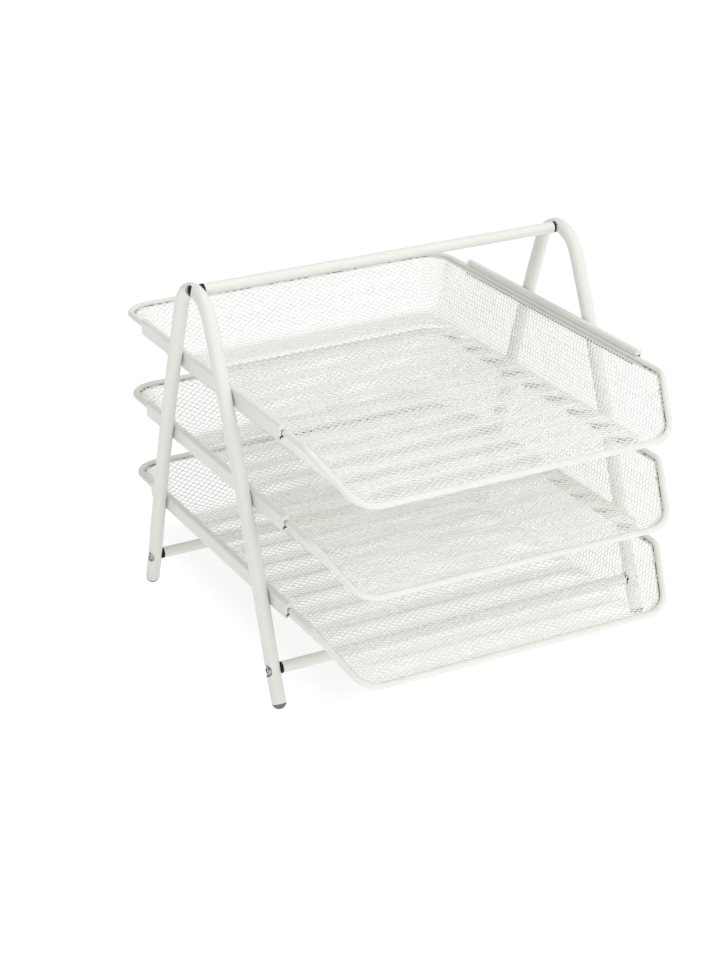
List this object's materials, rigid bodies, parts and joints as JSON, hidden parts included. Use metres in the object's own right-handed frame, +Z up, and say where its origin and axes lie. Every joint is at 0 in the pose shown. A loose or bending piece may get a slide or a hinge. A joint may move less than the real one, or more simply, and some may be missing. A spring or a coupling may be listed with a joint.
{
  "type": "document tray stack",
  "caption": "White steel desk organizer: mesh document trays that slide on side rails between tubular A-frames joined by a carrying handle and cross bars.",
  "frame": {"origin": "on the table under the middle of the trays, which is the bottom centre of the bounding box", "axes": "+Z up, X across the stack from left to right, -Y out of the open front"},
  "size_m": [0.294, 0.3517, 0.2662],
  "materials": {
    "white_coat": "semi-gloss white powder coat",
    "white_mesh": "semi-gloss white powder coat on expanded steel mesh",
    "screw_chrome": "bright plated",
    "black_plastic": "satin",
    "insert_steel": "zinc plated",
    "grey_plastic": "satin"
  },
  "bodies": {
    "frame": {"left_side_frame": "white_coat", "right_side_frame": "white_coat", "handle_bar": "white_coat", "front_cross_bar": "white_coat", "rear_cross_bar": "white_coat", "bottom_left_rail": "white_coat", "bottom_right_rail": "white_coat", "middle_left_rail": "white_coat", "middle_right_rail": "white_coat", "top_left_rail": "white_coat", "top_right_rail": "white_coat", "handle_left_screw": "screw_chrome", "handle_left_spacer": "black_plastic", "handle_left_insert": "insert_steel", "handle_right_screw": "screw_chrome", "handle_right_spacer": "black_plastic", "handle_right_insert": "insert_steel", "front_left_screw": "screw_chrome", "front_left_spacer": "black_plastic", "front_left_insert": "insert_steel", "front_right_screw": "screw_chrome", "front_right_spacer": "black_plastic", "front_right_insert": "insert_steel", "rear_left_screw": "screw_chrome", "rear_left_spacer": "black_plastic", "rear_left_insert": "insert_steel", "rear_right_screw": "screw_chrome", "rear_right_spacer": "black_plastic", "rear_right_insert": "insert_steel", "front_left_foot": "grey_plastic", "front_right_foot": "grey_plastic", "rear_left_foot": "grey_plastic", "rear_right_foot": "grey_plastic"},
    "bottom_tray": {"bottom_tray_rim": "white_coat", "bottom_tray_basket": "white_mesh"},
    "middle_tray": {"middle_tray_rim": "white_coat", "middle_tray_basket": "white_mesh"},
    "top_tray": {"top_tray_rim": "white_coat", "top_tray_basket": "white_mesh"}
  },
  "joints": [
    {"name": "bottom_tray_slide", "type": "slide", "parent": "frame", "child": "bottom_tray", "axis": [0, -1, 0], "range_m": [-0.025, 0.16]},
    {"name": "middle_tray_slide", "type": "slide", "parent": "frame", "child": "middle_tray", "axis": [0, -1, 0], "range_m": [-0.025, 0.16]},
    {"name": "top_tray_slide", "type": "slide", "parent": "frame", "child": "top_tray", "axis": [0, -1, 0], "range_m": [-0.025, 0.16]}
  ]
}
